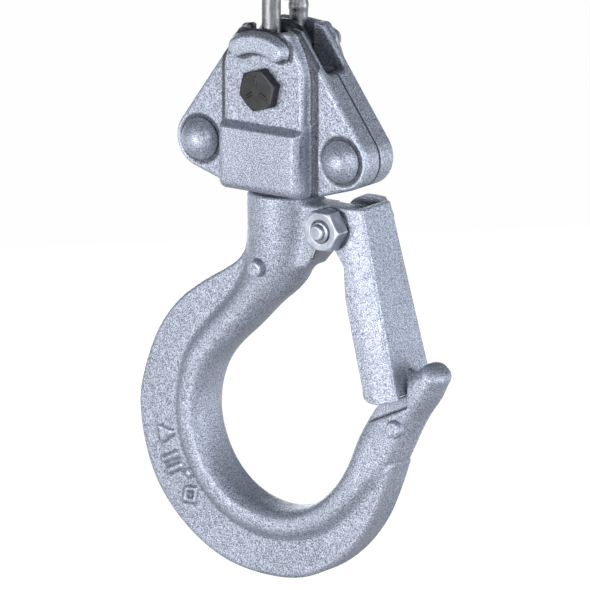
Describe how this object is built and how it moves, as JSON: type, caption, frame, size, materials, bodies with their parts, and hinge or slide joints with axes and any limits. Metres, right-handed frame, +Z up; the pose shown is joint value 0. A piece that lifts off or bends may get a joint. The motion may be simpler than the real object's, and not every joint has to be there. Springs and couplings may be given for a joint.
{
  "type": "crane hook block",
  "caption": "Riveted two-part yoke on a load chain, with a bearing-mounted swivel hook, sprung safety latch and hex chain bolt.",
  "frame": {"origin": "bearing point inside the top of the uppermost chain link, where the rest of the load chain carries the block", "axes": "+X towards the hook's throat and latch, +Y to the back of the block along the chain bolt, +Z up along the load line"},
  "size_m": [0.0964, 0.0316, 0.1789],
  "materials": {
    "cast_silver": "silver-grey paint over a forged and cast surface, fine grain",
    "rivet_silver": "silver-grey paint, smoother",
    "latch_silver": "silver-grey paint on pressed sheet",
    "black_bolt": "black oxide, satin",
    "chain_steel": "bright zinc, lightly worn",
    "zinc_steel": "zinc plated, satin",
    "bearing_steel": "ground steel, greased",
    "spring_steel": "drawn wire",
    "cage_brass": "pressed brass"
  },
  "bodies": {
    "top_link": {"chain_link_3": "chain_steel"},
    "middle_link": {"chain_link_2": "chain_steel"},
    "end_link": {"end_link": "chain_steel"},
    "yoke": {"yoke_front": "cast_silver", "yoke_rear": "cast_silver", "rivet_left": "rivet_silver", "rivet_right": "rivet_silver", "chain_bolt": "black_bolt", "chain_bolt_washer": "black_bolt", "chain_bolt_nut": "black_bolt", "race_lower": "bearing_steel"},
    "hook": {"hook_body": "cast_silver", "hook_nut": "zinc_steel", "hook_nut_pin": "bearing_steel", "race_upper": "bearing_steel", "latch_bolt": "zinc_steel", "latch_nut": "zinc_steel", "latch_bush": "zinc_steel", "latch_spring_front": "spring_steel", "latch_spring_rear": "spring_steel"},
    "cage": {"ball_cage": "cage_brass", "bearing_balls": "bearing_steel"},
    "latch": {"latch": "latch_silver"}
  },
  "joints": [
    {"name": "middle_link_swing", "type": "hinge", "parent": "top_link", "child": "middle_link", "pos_m": [0, 0, -0.0175], "axis": [1, 0, 0], "range_deg": [-30, 30]},
    {"name": "end_link_swing", "type": "hinge", "parent": "middle_link", "child": "end_link", "pos_m": [0, 0, -0.03245], "axis": [0, 1, 0], "range_deg": [-8, 8]},
    {"name": "yoke_swing", "type": "hinge", "parent": "end_link", "child": "yoke", "pos_m": [0, 0, -0.0419], "axis": [0, 1, 0], "range_deg": [-8, 8]},
    {"name": "hook_swivel", "type": "hinge", "parent": "yoke", "child": "hook", "pos_m": [0, 0, -0.0619], "axis": [0, 0, 1], "continuous": true},
    {"name": "cage_turn", "type": "hinge", "parent": "yoke", "child": "cage", "pos_m": [0, 0, -0.0619], "axis": [0, 0, 1], "continuous": true},
    {"name": "latch_swing", "type": "hinge", "parent": "hook", "child": "latch", "pos_m": [0.0207, 0, -0.0764], "axis": [0, 1, 0], "range_deg": [0, 48], "stiffness_Nm_per_rad": 0.06, "springref_deg": -34.38, "deforming": ["latch_spring_front", "latch_spring_rear"]}
  ],
  "couplings": [
    {"joint": "cage_turn", "follows": "hook_swivel", "ratio": 0.5}
  ]
}
